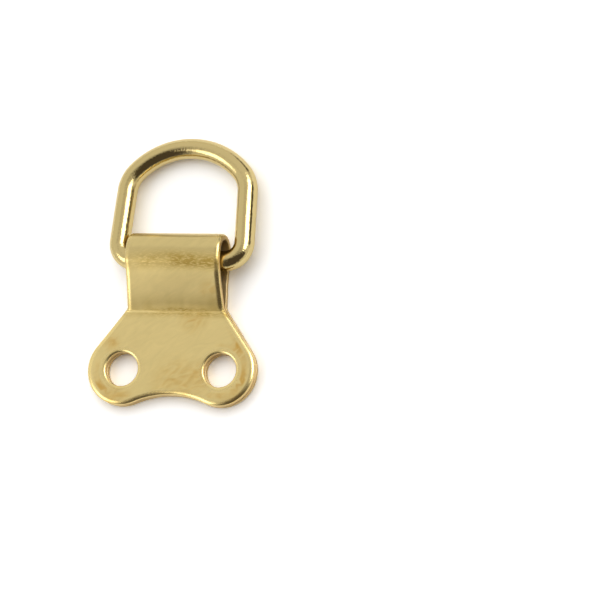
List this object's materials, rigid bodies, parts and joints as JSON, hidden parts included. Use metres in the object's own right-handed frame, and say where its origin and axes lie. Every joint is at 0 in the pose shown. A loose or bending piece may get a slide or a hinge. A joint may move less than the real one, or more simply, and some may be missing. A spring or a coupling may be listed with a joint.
{
  "type": "picture hanger",
  "caption": "D-ring picture hanger: a folded brass strap with a screw hole in each lobe, and a bent wire D-ring that swings in the strap's loop to take picture wire.",
  "frame": {"origin": "midway between the two screw holes, on the strap's rear face, which lies on the picture frame or wall", "axes": "+X across the strap, +Y from the screw holes towards the ring, +Z away from the rear face"},
  "size_m": [0.0256, 0.0394, 0.0055],
  "materials": {
    "strap_brass": "brass-plated stamped sheet, rolled smooth, with fine scratches and worn bends",
    "ring_brass": "brass-plated drawn wire, bright and smooth"
  },
  "bodies": {
    "strap": {"folded_strap": "strap_brass"},
    "ring": {"d_ring": "ring_brass"}
  },
  "joints": [
    {"name": "ring_swing", "type": "hinge", "parent": "strap", "child": "ring", "pos_m": [0.0004, 0.01585, 0.00265], "axis": [1, 0, 0], "range_deg": [-148, 176]}
  ]
}
